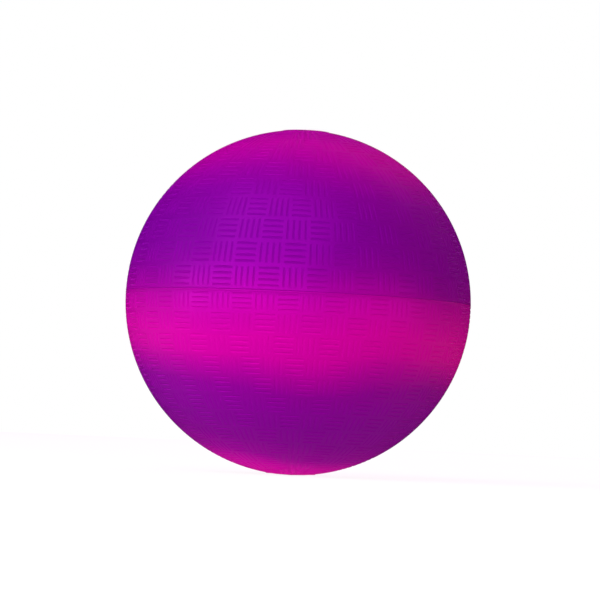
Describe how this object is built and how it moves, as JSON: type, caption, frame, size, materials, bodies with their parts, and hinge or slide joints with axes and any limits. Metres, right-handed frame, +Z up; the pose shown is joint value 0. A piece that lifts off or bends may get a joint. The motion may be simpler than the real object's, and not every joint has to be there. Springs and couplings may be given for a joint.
{
  "type": "dodgeball",
  "caption": "Inflated rubber playground ball: a textured cover of two halves over an air bladder, with a flanged needle valve at the upper pole.",
  "frame": {"origin": "centre of the ball", "axes": "+Z up through the pole that holds the valve, square to the parting line; the ball is round about Z, and the picture looks along +Y"},
  "size_m": [0.2164, 0.2164, 0.216],
  "materials": {
    "cover_upper": "moulded rubber with a soft gloss, violet",
    "cover_lower": "moulded rubber with a soft gloss, magenta",
    "bladder": "smooth black butyl rubber",
    "valve_housing": "matt moulded rubber",
    "valve_plug": "smooth off-white rubber"
  },
  "bodies": {
    "root": {"cover_upper": "cover_upper", "cover_lower": "cover_lower", "bladder": "bladder", "valve_housing": "valve_housing", "valve_plug": "valve_plug"}
  },
  "joints": []
}
